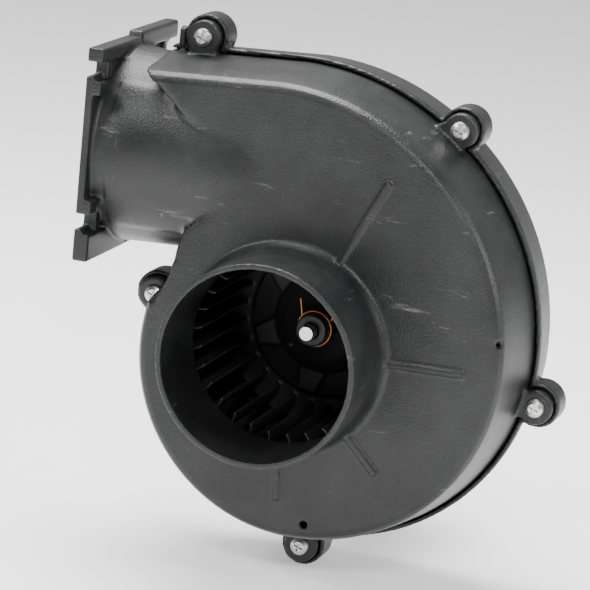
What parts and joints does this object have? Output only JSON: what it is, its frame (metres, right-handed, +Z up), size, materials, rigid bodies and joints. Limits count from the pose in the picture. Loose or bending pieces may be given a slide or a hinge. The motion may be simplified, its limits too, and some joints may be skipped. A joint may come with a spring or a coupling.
{
  "type": "centrifugal blower",
  "caption": "Flange-mounted centrifugal ventilation blower: round hose collar inlet, two-part scroll housing, forward-curved wheel and sealed DC motor.",
  "frame": {"origin": "centre of the inlet collar's front rim, on the shaft axis", "axes": "+Y along the shaft from the inlet to the motor, +Z up, +X to the right seen from the inlet; the outlet flange faces -X"},
  "size_m": [0.2453, 0.217, 0.2748],
  "materials": {
    "housing_plastic": "glass-filled, fine grain, satin",
    "wheel_plastic": "moulded, satin",
    "stainless": "satin",
    "gasket_rubber": "matte",
    "cast_cap": "as cast",
    "can_paint": "semi-gloss black",
    "cap_plastic": "moulded, satin",
    "ferrite": "ground",
    "bronze": "sintered",
    "phenolic": "sheet",
    "brass_sheet": "bright",
    "carbon": "pressed",
    "spring_steel": "drawn",
    "zinc_steel": "zinc plated",
    "grommet_rubber": "matte",
    "copper_wire": "copper-washed wire",
    "shaft_steel": "ground",
    "core_steel": "laminated",
    "magnet_wire": "enamelled",
    "commutator_copper": "turned",
    "nylon": "natural"
  },
  "bodies": {
    "housing": {"front_shell": "housing_plastic", "rear_shell": "housing_plastic", "cover_screws": "stainless", "motor_gasket": "gasket_rubber", "motor_front_cap": "cast_cap", "motor_can": "can_paint", "motor_rear_cap": "cap_plastic", "magnet_1": "ferrite", "magnet_2": "ferrite", "front_bearing": "bronze", "rear_bearing": "bronze", "brush_plate": "phenolic", "brush_box_1": "brass_sheet", "brush_box_2": "brass_sheet", "brush_1": "carbon", "brush_2": "carbon", "brush_spring_1": "spring_steel", "brush_spring_2": "spring_steel", "motor_screws": "stainless", "through_bolts": "zinc_steel", "lead_grommet": "grommet_rubber"},
    "rotor": {"wheel": "wheel_plastic", "hub_clamp": "copper_wire", "shaft": "shaft_steel", "armature_core": "core_steel", "armature_windings": "magnet_wire", "commutator": "commutator_copper", "front_washer": "nylon", "rear_washer": "nylon"}
  },
  "joints": [
    {"name": "rotor_spin", "type": "hinge", "parent": "housing", "child": "rotor", "pos_m": [0, 0.1, 0], "axis": [0, -1, 0], "continuous": true}
  ]
}
